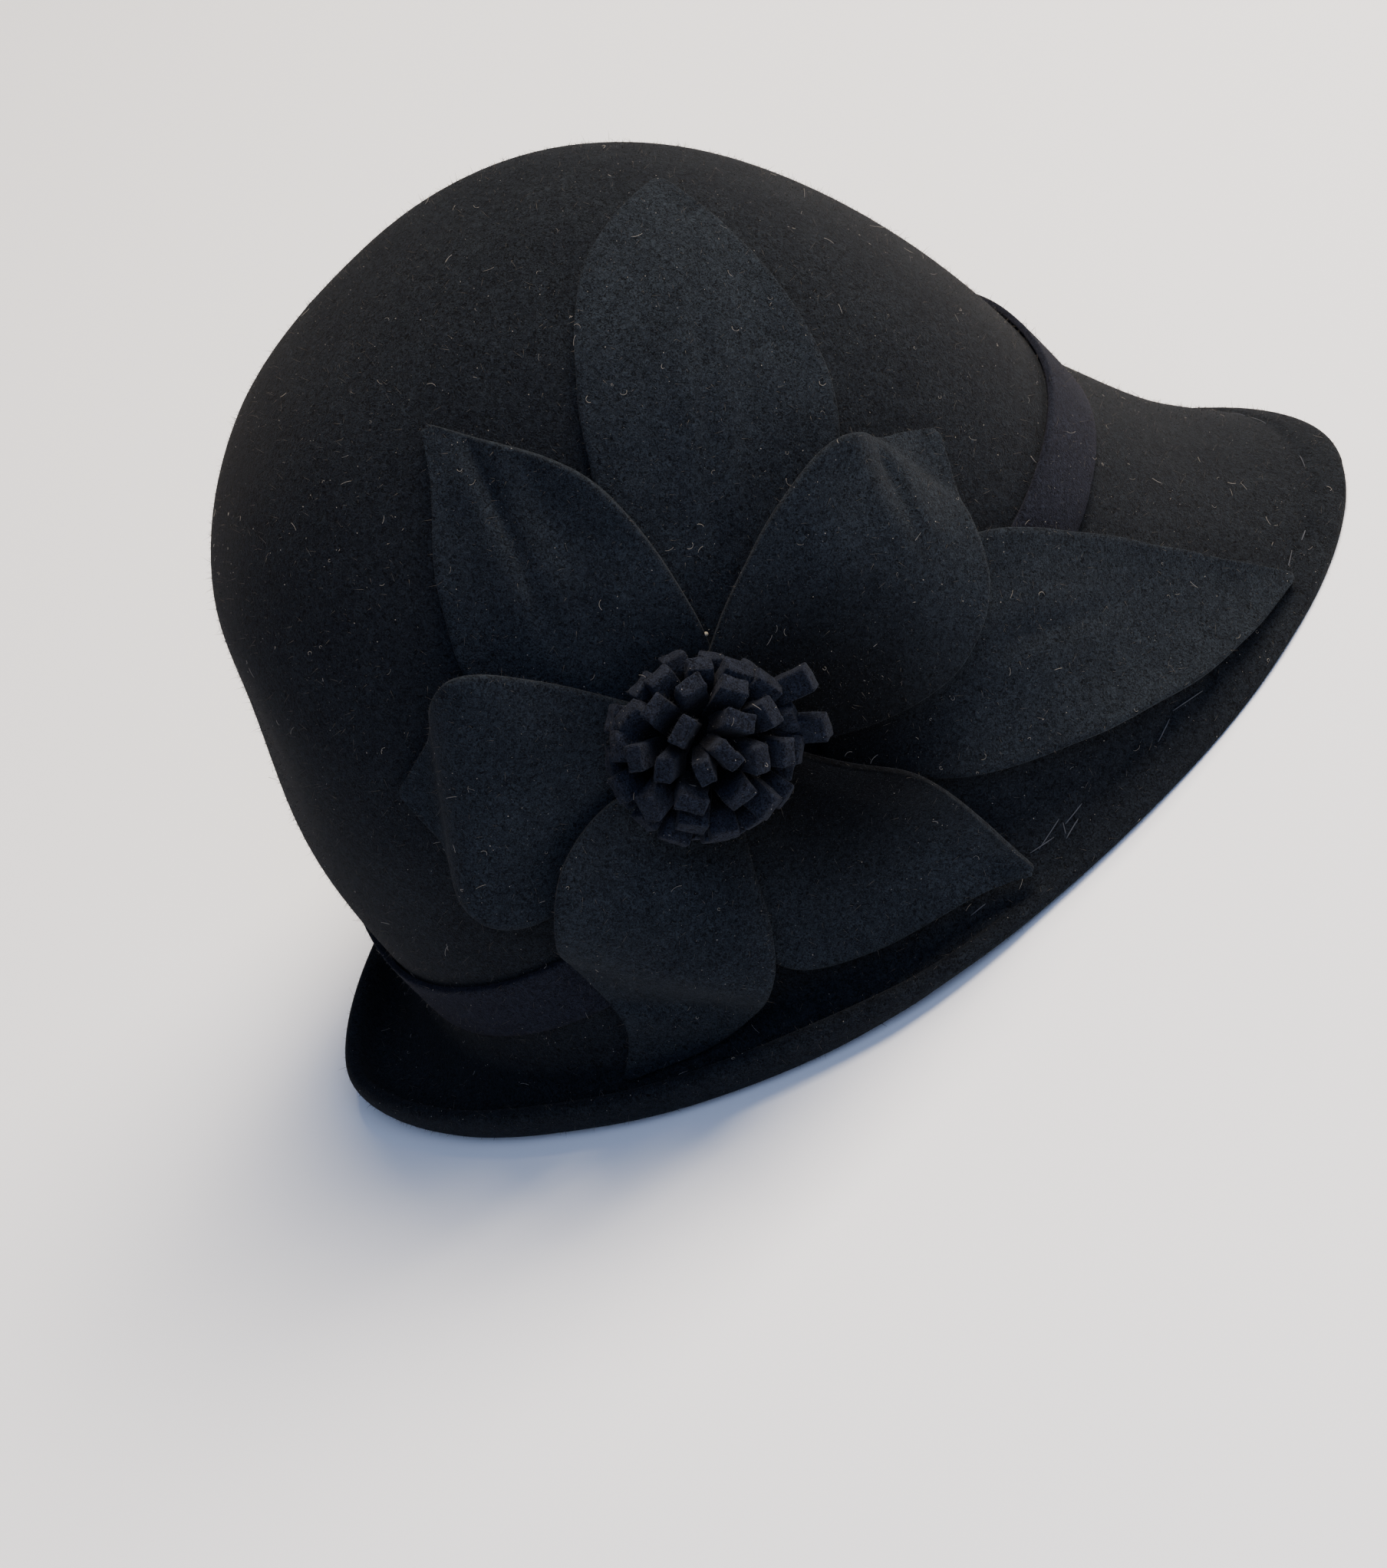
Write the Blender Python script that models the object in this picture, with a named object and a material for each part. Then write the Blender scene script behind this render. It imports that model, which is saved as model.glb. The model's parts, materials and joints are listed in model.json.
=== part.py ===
"""Cloche hat of black wool felt with a felt strip around the crown and a felt flower.

The hat faces -Y and rests on its brim at z = 0, the flower is on the wearer's right (-X),
and the origin is under the middle of the whole hat. Lengths are in metres, angles in
degrees. Each soft form is a sheet that a function bends into place from the sizes below.
"""
import math

import bmesh
import bpy
from mathutils import Euler, Matrix, Vector
from mathutils.bvhtree import BVHTree

MM = 0.001

# Felt body: the head opening is measured inside the felt.
HEAD_LENGTH = 203 * MM
HEAD_WIDTH = 161 * MM
FELT_WALL = 2.2 * MM
CROWN_HEIGHT = 138.5 * MM
CROWN_TILT = 10.0
CROWN_LEAN = 3 * MM
FOOT_HEIGHT = 39 * MM
PLAN_POWER = 2.35
SIDE_POWER = 2.5
TOP_POWER = 2.0

# Brim, measured level from the crown's foot to the edge.
FRONT_REACH = 46 * MM
SIDE_REACH = 17 * MM
BACK_REACH = 26 * MM
BRIM_MIDDLE = -8 * MM
FRONT_EDGE_POWER = 1.9
BACK_EDGE_POWER = 1.62
HEM_FELT = 4.4 * MM
PRESSED = 0.8 * MM
LIP_HEIGHT = 7.5 * MM
LIP_FLARE = 0.5 * MM
LIP_STARTS = 55.0
LIP_FULL = 112.0

# Strip around the foot of the crown.
BAND_HEIGHT = 16.5 * MM
BAND_FELT = 1.6 * MM
BAND_ABOVE_FOOT = 1.5 * MM

# Flower: a fan of petals in a plane that faces outward and up, and a tufted middle.
FLOWER_FORWARD = -17 * MM
FLOWER_UP = 74 * MM
FLOWER_FACES_UP = 30.0
PETAL_FELT = 1.6 * MM
PETAL_HALF_WIDTH = 31 * MM
PETAL_RISE = 10 * MM
STEM_RADIUS = 4.5 * MM
CORE_RADIUS = 15 * MM
CORE_DEPTH = 3.5 * MM
CORE_RISE = 14 * MM
HEAD_RADIUS = 22 * MM
TUFT_WIDTH = 7 * MM
TUFT_FELT = 4.6 * MM
TUFT_LENGTH = 12 * MM
TUFT_COUNT = 38
TUFT_SPREAD = 84.0
MIDDLE_FACES_UP = 12.0
MIDDLE_AHEAD = -1.5 * MM
MIDDLE_RISE = 5 * MM

GAP = 0.35 * MM
LAYER_GAP = 0.6 * MM
NEIGHBOUR_REACH = 4.5 * MM

BODY_COLUMNS = 52
CROWN_ANGLES = (90, 83, 76, 69, 62, 55, 48, 41, 34, 27, 20, 14, 9, 4, 0)
BAND_COLUMNS = 52
BAND_ROWS = 3
PETAL_ROWS = 14
PETAL_COLUMNS = 8

# One row per section of the brim's upper face: the share of the way from foot to edge, the
# level reach and the drop in front and behind as shares of their full values, how far the
# rolled edge behind has risen, and how far the felt has thickened into its folded hem.
BRIM_SECTIONS = (
    # along, front_reach, front_drop, back_reach, back_drop, lip, hem
    (0.14, 0.12, 0.15, 0.08, 0.28, 0.00, 0.0),
    (0.28, 0.24, 0.33, 0.18, 0.54, 0.00, 0.0),
    (0.42, 0.37, 0.50, 0.32, 0.77, 0.00, 0.0),
    (0.56, 0.51, 0.65, 0.52, 0.93, 0.00, 0.0),
    (0.70, 0.67, 0.78, 0.74, 1.00, 0.00, 0.1),
    (0.82, 0.80, 0.88, 0.89, 1.00, 0.18, 0.5),
    (0.92, 0.91, 0.95, 0.93, 1.00, 0.60, 0.9),
    (1.00, 1.00, 1.00, 0.92, 1.00, 1.00, 1.0),
)
EDGE_TURNS = (45, 90, 135)

# One row per soft dent of the crown: where it is, in degrees from the front towards the
# wearer's right, how wide, between which shares of the crown's height, and how deep.
CROWN_DENTS = (
    # name, angle, half_width, low, high, depth
    ("centre_back_fold", 180.0, 20.0, 0.34, 0.76, 5.0 * MM),
    ("back_swell", 180.0, 70.0, 0.04, 1.00, -1.5 * MM),
)

# One entry per petal in the order they are laid: direction in the flower's plane (from the
# hat's front, turning up), reach to the tip, and its sections. A section gives the share
# of the reach, the edges left and right of the middle line as shares of the half width,
# and the lift off what lies below at left, middle and right as shares of the rise. Where
# the lift drops and the reach hardly grows, the petal folds down to what lies below.
PETALS = (
    ("petal_top", 60.0, 128 * MM, (
        (0.16, 0.35, 0.35, 0.00, 0.00, 0.00),
        (0.33, 0.60, 0.85, 0.00, 0.00, 0.00),
        (0.50, 0.66, 1.10, 0.05, 0.00, 0.05),
        (0.66, 0.72, 1.05, 0.08, 0.00, 0.08),
        (0.80, 0.65, 0.76, 0.10, 0.02, 0.12),
        (0.92, 0.41, 0.38, 0.12, 0.06, 0.12),
        (1.00, 0.03, 0.03, 0.10, 0.10, 0.10),
    )),
    ("petal_right", -18.0, 141 * MM, (
        (0.17, 0.30, 0.30, 0.00, 0.00, 0.00),
        (0.35, 0.80, 0.68, 0.05, 0.00, 0.15),
        (0.52, 0.96, 0.71, 0.20, 0.05, 0.40),
        (0.66, 0.76, 0.63, 0.20, 0.10, 0.50),
        (0.80, 0.48, 0.50, 0.15, 0.10, 0.45),
        (0.91, 0.22, 0.28, 0.10, 0.10, 0.25),
        (1.00, 0.03, 0.03, 0.10, 0.10, 0.10),
    )),
    ("petal_upper_left", 96.0, 94 * MM, (
        (0.13, 0.40, 0.45, 0.00, 0.00, 0.00),
        (0.30, 0.90, 0.58, 0.00, 0.05, 0.25),
        (0.50, 0.95, 0.63, 0.05, 0.10, 0.60),
        (0.64, 0.78, 0.60, 0.10, 0.05, 0.70),
        (0.76, 0.57, 0.47, 0.15, 0.05, 0.55),
        (0.88, 0.25, 0.24, 0.15, 0.10, 0.30),
        (1.00, 0.03, 0.03, 0.10, 0.10, 0.10),
    )),
    ("petal_upper_right", 20.0, 87 * MM, (
        (0.14, 0.35, 0.45, 0.00, 0.00, 0.10),
        (0.30, 0.49, 0.85, 0.20, 0.15, 0.25),
        (0.47, 0.56, 1.08, 0.60, 0.25, 0.20),
        (0.62, 0.60, 1.10, 0.95, 0.55, 0.25),
        (0.75, 0.57, 0.97, 1.20, 0.60, 0.32),
        (0.83, 0.50, 0.72, 1.20, 0.40, 0.30),
        (0.88, 0.42, 0.50, 0.80, 0.25, 0.22),
        (0.89, 0.30, 0.42, 0.20, 0.15, 0.15),
        (0.94, 0.20, 0.24, 0.12, 0.12, 0.12),
        (1.00, 0.03, 0.03, 0.12, 0.12, 0.12),
    )),
    ("petal_lower_right", -55.0, 77 * MM, (
        (0.14, 0.20, 0.45, 0.00, 0.00, 0.00),
        (0.28, 0.21, 1.10, 0.30, 0.05, 0.00),
        (0.42, 0.26, 1.26, 0.70, 0.30, 0.05),
        (0.58, 0.35, 1.06, 0.80, 0.45, 0.15),
        (0.75, 0.24, 0.66, 0.55, 0.40, 0.30),
        (0.89, 0.11, 0.24, 0.35, 0.30, 0.30),
        (1.00, 0.03, 0.03, 0.25, 0.25, 0.25),
    )),
    ("petal_left", 152.0, 69 * MM, (
        (0.16, 0.40, 0.35, 0.00, 0.00, 0.00),
        (0.34, 0.72, 0.52, 0.15, 0.15, 0.10),
        (0.52, 0.98, 0.66, 0.40, 0.50, 0.50),
        (0.68, 1.08, 0.74, 0.80, 0.90, 0.90),
        (0.80, 1.00, 0.72, 1.00, 1.10, 1.10),
        (0.86, 0.78, 0.58, 0.70, 0.75, 0.75),
        (0.87, 0.45, 0.38, 0.20, 0.22, 0.25),
        (0.92, 0.28, 0.24, 0.05, 0.05, 0.05),
        (1.00, 0.03, 0.03, 0.05, 0.05, 0.05),
    )),
    ("petal_bottom", -139.0, 76 * MM, (
        (0.14, 0.30, 0.40, 0.00, 0.00, 0.00),
        (0.25, 0.45, 0.68, 0.10, 0.15, 0.10),
        (0.42, 0.70, 0.82, 0.45, 0.75, 0.45),
        (0.56, 0.83, 0.80, 0.55, 1.00, 0.55),
        (0.67, 0.82, 0.70, 0.50, 0.80, 0.45),
        (0.72, 0.76, 0.50, 0.10, 0.15, 0.10),
        (0.85, 0.52, 0.06, 0.03, 0.03, 0.03),
        (1.00, 0.03, 0.01, 0.05, 0.05, 0.05),
    )),
)

# Felt colours as sRGB shares, one row per kind of felt: colour, roughness.
FELTS = {
    "body_felt": ((0.115, 0.112, 0.118), 0.95),
    "band_felt": ((0.135, 0.128, 0.145), 0.93),
    "petal_felt": ((0.120, 0.120, 0.130), 0.95),
    "tuft_felt": ((0.110, 0.110, 0.128), 0.96),
}


def hat_point(forward, right, up):
    """World point from distances ahead, to the wearer's right and up."""
    return Vector((-right, -forward, up))


def power(value, exponent):
    """Signed power, which keeps a rounded plan on all four sides."""
    return math.copysign(abs(value) ** exponent, value)


def smoothstep(low, high, value):
    """Rises softly from 0 to 1 between low and high."""
    share = min(1.0, max(0.0, (value - low) / (high - low)))
    return share * share * (3.0 - 2.0 * share)


def blend(low, high, share):
    """Straight mix of two numbers."""
    return low + (high - low) * share


def turn_between(first, second):
    """Smallest angle between two directions in degrees."""
    return abs((first - second + 180.0) % 360.0 - 180.0)


def dent_at(degrees, share):
    """Depth by which the crown's soft dents push it in at one place."""
    depth = 0.0
    for _name, angle, half_width, low, high, deep in CROWN_DENTS:
        across = math.exp(-((turn_between(degrees, angle) / half_width) ** 2))
        window = math.sin(math.pi * min(1.0, max(0.0, (share - low) / (high - low)))) ** 1.5
        depth += deep * across * window
    return depth


def crown_point(degrees, rise_degrees):
    """Point of the crown's outside; rise_degrees runs from 0 at the foot to 90 at the top."""
    turn = math.radians(degrees)
    rise = math.radians(rise_degrees)
    inset = max(0.0, math.cos(rise)) ** (2.0 / SIDE_POWER)
    share = math.sin(rise) ** (2.0 / TOP_POWER)
    half_length = HEAD_LENGTH / 2 + FELT_WALL
    half_width = HEAD_WIDTH / 2 + FELT_WALL
    pushed = dent_at(degrees, share) if inset > 0.05 else 0.0
    forward = (half_length * inset - pushed) * power(math.cos(turn), 2.0 / PLAN_POWER)
    right = (half_width * inset - pushed) * power(math.sin(turn), 2.0 / PLAN_POWER)
    forward += CROWN_LEAN * share
    up = CROWN_HEIGHT * share
    tilt = math.radians(CROWN_TILT)
    return hat_point(
        forward * math.cos(tilt) - up * math.sin(tilt),
        right,
        FOOT_HEIGHT + forward * math.sin(tilt) + up * math.cos(tilt),
    )


def lip_share(degrees):
    """How much of the turned-up edge there is: none in front, all of it behind."""
    return smoothstep(LIP_STARTS, LIP_FULL, turn_between(degrees, 0.0))


def brim_edge(degrees):
    """Point where the brim's upper face meets the surface it rests on."""
    turn = math.radians(degrees)
    foot_half_length = (HEAD_LENGTH / 2 + FELT_WALL) * math.cos(math.radians(CROWN_TILT))
    if math.cos(turn) > 0:
        half_length = foot_half_length + FRONT_REACH - BRIM_MIDDLE
        roundness = FRONT_EDGE_POWER
    else:
        half_length = foot_half_length + BACK_REACH + BRIM_MIDDLE
        roundness = BACK_EDGE_POWER
    half_width = HEAD_WIDTH / 2 + FELT_WALL + SIDE_REACH
    forward = BRIM_MIDDLE + half_length * power(math.cos(turn), 2.0 / roundness)
    right = half_width * power(math.sin(turn), 2.0 / roundness)
    resting_on_hem = HEM_FELT * 0.8 - PRESSED
    resting_on_felt = FELT_WALL * 0.9
    return hat_point(forward, right, blend(resting_on_hem, resting_on_felt, lip_share(degrees)))


def brim_point(degrees, section):
    """Point of one brim section at one direction."""
    _along, front_reach, front_drop, back_reach, back_drop, lip, _hem = section
    back = lip_share(degrees)
    reach = blend(front_reach, back_reach, back)
    drop = blend(front_drop, back_drop, back)
    foot = crown_point(degrees, 0.0)
    edge = brim_edge(degrees)
    outward = Vector((edge.x - foot.x, edge.y - foot.y, 0.0))
    place = foot + outward * reach
    place.z = blend(foot.z, edge.z, drop)
    middle = hat_point(BRIM_MIDDLE, 0.0, 0.0)
    flare = Vector((edge.x - middle.x, edge.y - middle.y, 0.0)).normalized()
    return place + flare * (LIP_FLARE * back * lip ** 1.5) + Vector((0.0, 0.0, LIP_HEIGHT * back * lip))


def bent_grid(columns, rows, place):
    """A flat grid whose vertices are moved to place(u, v), with u and v from 0 to 1."""
    shape = bmesh.new()
    bmesh.ops.create_grid(shape, x_segments=columns, y_segments=rows, size=0.5)
    for vertex in shape.verts:
        vertex.co = place(round(vertex.co.x + 0.5, 6), round(vertex.co.y + 0.5, 6))
    return shape


def thicken(shape, felt, outward_from):
    """Gives a sheet its felt, below the face that looks away from a point."""
    bmesh.ops.remove_doubles(shape, verts=shape.verts, dist=1e-6)
    bmesh.ops.recalc_face_normals(shape, faces=shape.faces)
    shape.faces.ensure_lookup_table()
    facing = 0.0
    for face in shape.faces:
        facing += face.normal.dot(face.calc_center_median() - outward_from) * face.calc_area()
    if facing < 0:
        bmesh.ops.reverse_faces(shape, faces=shape.faces)
    shape.normal_update()
    bmesh.ops.solidify(shape, geom=shape.faces[:], thickness=felt)
    bmesh.ops.recalc_face_normals(shape, faces=shape.faces)


def felt_material(name):
    """Plain felt look for one kind of felt."""
    colour, roughness = FELTS[name]
    material = bpy.data.materials.new(name)
    material.use_nodes = True
    shader = material.node_tree.nodes["Principled BSDF"]
    linear = [((part + 0.055) / 1.055) ** 2.4 if part > 0.04045 else part / 12.92 for part in colour]
    shader.inputs["Base Color"].default_value = (*linear, 1.0)
    shader.inputs["Roughness"].default_value = roughness
    shader.inputs["Metallic"].default_value = 0.0
    return material


def hat_object(name, shape, material, parts):
    """Turns a finished form into a named object with its felt."""
    mesh = bpy.data.meshes.new(name)
    shape.to_mesh(mesh)
    shape.free()
    mesh.materials.append(material)
    mesh.shade_smooth()
    mesh.set_sharp_from_angle(angle=math.radians(45))
    item = bpy.data.objects.new(name, mesh)
    parts.objects.link(item)
    return item


def tree_of(item):
    """Search tree of an object's faces."""
    shape = bmesh.new()
    shape.from_mesh(item.data)
    tree = BVHTree.FromBMesh(shape)
    shape.free()
    return tree


def felt_body():
    """Crown and brim in one piece: outside, rounded hem, inside; pressed flat where it rests."""
    directions = [360.0 * column / BODY_COLUMNS for column in range(BODY_COLUMNS)]
    outside = [[crown_point(degrees, angle) for degrees in directions] for angle in CROWN_ANGLES]
    outside += [[brim_point(degrees, section) for degrees in directions] for section in BRIM_SECTIONS]
    felts = [FELT_WALL] * len(CROWN_ANGLES)
    felts += [blend(FELT_WALL, HEM_FELT, section[-1]) for section in BRIM_SECTIONS]
    last = len(outside) - 1
    tilt = math.radians(CROWN_TILT)
    top_normal = hat_point(-math.sin(tilt), 0.0, math.cos(tilt))

    def downward(row, column):
        return outside[min(last, row + 1)][column] - outside[max(0, row - 1)][column]

    def normal(row, column):
        if row == 0:
            return top_normal
        around = outside[row][(column + 1) % BODY_COLUMNS] - outside[row][column - 1]
        return around.cross(downward(row, column)).normalized()

    sign = 1.0 if normal(last // 2, 0).dot(hat_point(1.0, 0.0, 0.0)) > 0 else -1.0
    inside = []
    nose = [[] for _turn in EDGE_TURNS]
    for row in range(last + 1):
        places = []
        for column in range(BODY_COLUMNS):
            out = normal(row, column) * (1.0 if row == 0 else sign)
            places.append(outside[row][column] - out * felts[row])
            if row == last:
                onward = downward(row, column)
                onward = (onward - out * onward.dot(out)).normalized()
                middle = outside[row][column] - out * felts[row] / 2
                for ring, turn in zip(nose, EDGE_TURNS):
                    angle = math.radians(turn)
                    ring.append(middle + (out * math.cos(angle) + onward * math.sin(angle)) * felts[row] / 2)
        inside.append(places)
    rings = outside + nose + inside[::-1]

    def place(u, v):
        point = rings[round(v * (len(rings) - 1))][round(u * BODY_COLUMNS) % BODY_COLUMNS]
        return Vector((point.x, point.y, max(0.0, point.z)))

    shape = bent_grid(BODY_COLUMNS, len(rings) - 1, place)
    bmesh.ops.remove_doubles(shape, verts=shape.verts, dist=1e-6)
    bmesh.ops.recalc_face_normals(shape, faces=shape.faces)
    return shape


def felt_band():
    """Strip that hugs the crown just above its foot."""
    def rise_for(height):
        return math.degrees(math.asin((height / CROWN_HEIGHT) ** (TOP_POWER / 2.0)))

    low = rise_for(BAND_ABOVE_FOOT)
    high = rise_for(BAND_ABOVE_FOOT + BAND_HEIGHT)
    step = 0.5

    def place(u, v):
        degrees = 360.0 * u
        rise = blend(low, high, v)
        here = crown_point(degrees, rise)
        along = crown_point(degrees + step, rise) - crown_point(degrees - step, rise)
        upward = crown_point(degrees, rise + step) - crown_point(degrees, max(0.0, rise - step))
        out = along.cross(upward).normalized()
        if out.dot(here - hat_point(0.0, 0.0, here.z)) < 0:
            out.negate()
        return here + out * (GAP + BAND_FELT)

    shape = bent_grid(BAND_COLUMNS, BAND_ROWS, place)
    thicken(shape, BAND_FELT, hat_point(0.0, 0.0, FOOT_HEIGHT))
    return shape


class FlowerPlane:
    """Plane at the flower: across points ahead, rise points up the slope, out points away."""

    def __init__(self, faces_up):
        lean = math.radians(faces_up)
        self.origin = hat_point(FLOWER_FORWARD, HEAD_WIDTH / 2, FLOWER_UP)
        self.across = hat_point(1.0, 0.0, 0.0)
        self.rise = hat_point(0.0, -math.sin(lean), math.cos(lean))
        self.out = hat_point(0.0, math.cos(lean), math.sin(lean))

    def point(self, across, rise, height):
        """World point from plane coordinates and a height above the plane."""
        return self.origin + self.across * across + self.rise * rise + self.out * height

    def height_over(self, trees, across, rise):
        """Height of the topmost of some solids at one place, and how squarely it faces out."""
        start = self.point(across, rise, 0.4)
        best = None
        for tree in trees:
            hit, normal, _index, distance = tree.ray_cast(start, -self.out)
            if hit is not None and (best is None or 0.4 - distance > best[0]):
                best = (0.4 - distance, max(0.3, abs(normal.dot(self.out))))
        return best


def read_section(sections, progress):
    """Values of a petal's sections between the first, 0, and the last, 1, by a smooth curve."""
    place = progress * (len(sections) - 1)
    index = min(len(sections) - 2, int(place))
    before = sections[max(0, index - 1)]
    start = sections[index]
    end = sections[index + 1]
    after = sections[min(len(sections) - 1, index + 2)]
    share = place - index
    values = []
    for column in range(len(start)):
        slope_in = (end[column] - before[column]) / 2
        slope_out = (after[column] - start[column]) / 2
        square = share * share
        cube = square * share
        values.append(
            (2 * cube - 3 * square + 1) * start[column]
            + (cube - 2 * square + share) * slope_in
            + (3 * square - 2 * cube) * end[column]
            + (cube - square) * slope_out
        )
    return values


def petal_layout(direction, reach, sections):
    """Plane position and lift of each vertex of a petal, by row and column."""
    turn = math.radians(direction)
    ahead = (math.cos(turn), math.sin(turn))
    leftward = (-ahead[1], ahead[0])
    layout = []
    for row in range(PETAL_ROWS + 1):
        along, left, right, lift_left, lift_middle, lift_right = read_section(sections, row / PETAL_ROWS)
        places = []
        for column in range(PETAL_COLUMNS + 1):
            side = 1.0 - 2.0 * column / PETAL_COLUMNS
            width = left if side > 0 else right
            edge_lift = lift_left if side > 0 else lift_right
            offset = side * max(0.02, width) * PETAL_HALF_WIDTH
            lift = blend(lift_middle, edge_lift, side * side) * PETAL_RISE
            places.append((
                ahead[0] * reach * along + leftward[0] * offset,
                ahead[1] * reach * along + leftward[1] * offset,
                max(0.0, lift),
            ))
        layout.append(places)
    return layout


def petal_floor(plane, hat_trees, laid_trees, across, rise):
    """Lowest height at which a petal clears the hat and the petals below it."""
    ground = plane.height_over(hat_trees, across, rise)
    height, facing = ground
    stack = 0.0
    for turn in range(9):
        if turn == 8:
            near = (0.0, 0.0)
        else:
            near = (math.cos(turn * math.pi / 4) * NEIGHBOUR_REACH, math.sin(turn * math.pi / 4) * NEIGHBOUR_REACH)
        top = plane.height_over(laid_trees, across + near[0], rise + near[1])
        below = plane.height_over(hat_trees, across + near[0], rise + near[1])
        if top is not None and below is not None:
            stack = max(stack, top[0] - below[0] + LAYER_GAP)
    return height + max(stack, LAYER_GAP / facing)


def settle(floors):
    """Lets a sheet span the steps and hollows below it, never sinking under its floor."""
    heights = [row[:] for row in floors]
    last_row = len(floors) - 1
    last_column = len(floors[0]) - 1
    for _pass in range(24):
        settled = [row[:] for row in heights]
        for row in range(last_row + 1):
            for column in range(last_column + 1):
                around = []
                if 0 < row < last_row:
                    around += [heights[row - 1][column], heights[row + 1][column]]
                if 0 < column < last_column:
                    around += [heights[row][column - 1], heights[row][column + 1]]
                if around:
                    mean = sum(around) / len(around)
                    settled[row][column] = max(floors[row][column], blend(heights[row][column], mean, 0.6))
        heights = settled
    return heights


def felt_petal(plane, direction, reach, sections, hat_trees, laid_trees):
    """One petal laid over the hat and the petals before it."""
    layout = petal_layout(direction, reach, sections)
    floors = []
    for places in layout:
        floors.append([petal_floor(plane, hat_trees, laid_trees, across, rise) for across, rise, _lift in places])
    heights = settle(floors)

    def place(u, v):
        row = round(v * PETAL_ROWS)
        column = round(u * PETAL_COLUMNS)
        across, rise, lift = layout[row][column]
        return plane.point(across, rise, heights[row][column] + lift + PETAL_FELT)

    shape = bent_grid(PETAL_COLUMNS, PETAL_ROWS, place)
    thicken(shape, PETAL_FELT, plane.point(0.0, 0.0, -1.0))
    return shape


def tufted_middle(hat_trees, laid_trees, material, parts, joined_forms):
    """Rolled and slashed strip: square tufts around a core on a short stem."""
    plane = FlowerPlane(MIDDLE_FACES_UP)

    def middle(across, rise, height):
        return plane.point(MIDDLE_AHEAD + across, MIDDLE_RISE + rise, height)

    def highest(trees, radius):
        found = []
        for turn in range(16):
            angle = turn * math.pi / 8
            across = MIDDLE_AHEAD + radius * math.cos(angle)
            rise = MIDDLE_RISE + radius * math.sin(angle)
            found.append(plane.height_over(trees, across, rise))
        return max((height for height, _facing in filter(None, found)), default=-1.0)

    under_core = max(highest(laid_trees, CORE_RADIUS * ring / 6) for ring in range(7))
    under_tufts = max(highest(laid_trees, HEAD_RADIUS * ring / 12) for ring in range(8, 13))
    foot = highest(hat_trees, STEM_RADIUS) + GAP
    centre = LAYER_GAP + max(under_core + CORE_DEPTH, under_tufts + TUFT_FELT / 2)
    core = bmesh.new()
    bmesh.ops.create_uvsphere(core, u_segments=20, v_segments=10, radius=1.0)
    for vertex in core.verts:
        level = CORE_RISE if vertex.co.z > 0 else CORE_DEPTH
        vertex.co = middle(vertex.co.x * CORE_RADIUS, vertex.co.y * CORE_RADIUS, centre + vertex.co.z * level)
    item = hat_object("flower_centre", core, material, parts)

    axes = Matrix((plane.across, plane.rise, plane.out)).transposed().to_4x4()
    stem = bmesh.new()
    bmesh.ops.create_cone(
        stem, cap_ends=True, segments=16, radius1=STEM_RADIUS, radius2=STEM_RADIUS, depth=centre - foot,
        matrix=Matrix.Translation(middle(0.0, 0.0, (centre + foot) / 2)) @ axes,
    )
    forms = [hat_object("stem_form", stem, material, joined_forms)]
    for index in range(TUFT_COUNT):
        share = (index + 0.6) / TUFT_COUNT
        spin = math.radians(137.508 * index)
        jitter = 0.5 * math.sin(index * 12.9898)
        tilt = math.radians(TUFT_SPREAD) * math.sqrt(share) + 0.1 * jitter
        lean = Euler((0.0, tilt, spin), "XYZ").to_matrix().to_4x4()
        twist = Matrix.Rotation(0.5 * math.sin(index * 4.7), 4, "Z")
        reach = HEAD_RADIUS * (1.0 + 0.06 * jitter) * (0.86 + 0.14 * share) - TUFT_LENGTH / 2
        tuft = bmesh.new()
        bmesh.ops.create_cube(
            tuft, size=1.0,
            matrix=Matrix.Translation(middle(0.0, 0.0, centre)) @ axes @ lean
            @ Matrix.Translation((0.0, 0.0, reach)) @ twist
            @ Matrix.Diagonal((TUFT_FELT, TUFT_WIDTH, TUFT_LENGTH, 1.0)),
        )
        forms.append(hat_object(f"tuft_form_{index:02d}", tuft, material, joined_forms))
    for form in forms:
        form.hide_render = True
        form.display_type = "WIRE"
        union = item.modifiers.new(f"join {form.name}", "BOOLEAN")
        union.operation = "UNION"
        union.solver = "EXACT"
        union.object = form
    return item


def shift_all(items, offset):
    """Moves the meshes themselves, so that every object's origin stays at the world's."""
    for item in items:
        item.data.transform(Matrix.Translation(offset))


def box_middle(items):
    """Middle of the level outline of some objects."""
    places = [vertex.co for item in items for vertex in item.data.vertices]
    xs = [place.x for place in places]
    ys = [place.y for place in places]
    return Vector(((min(xs) + max(xs)) / 2, (min(ys) + max(ys)) / 2, 0.0))


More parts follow.
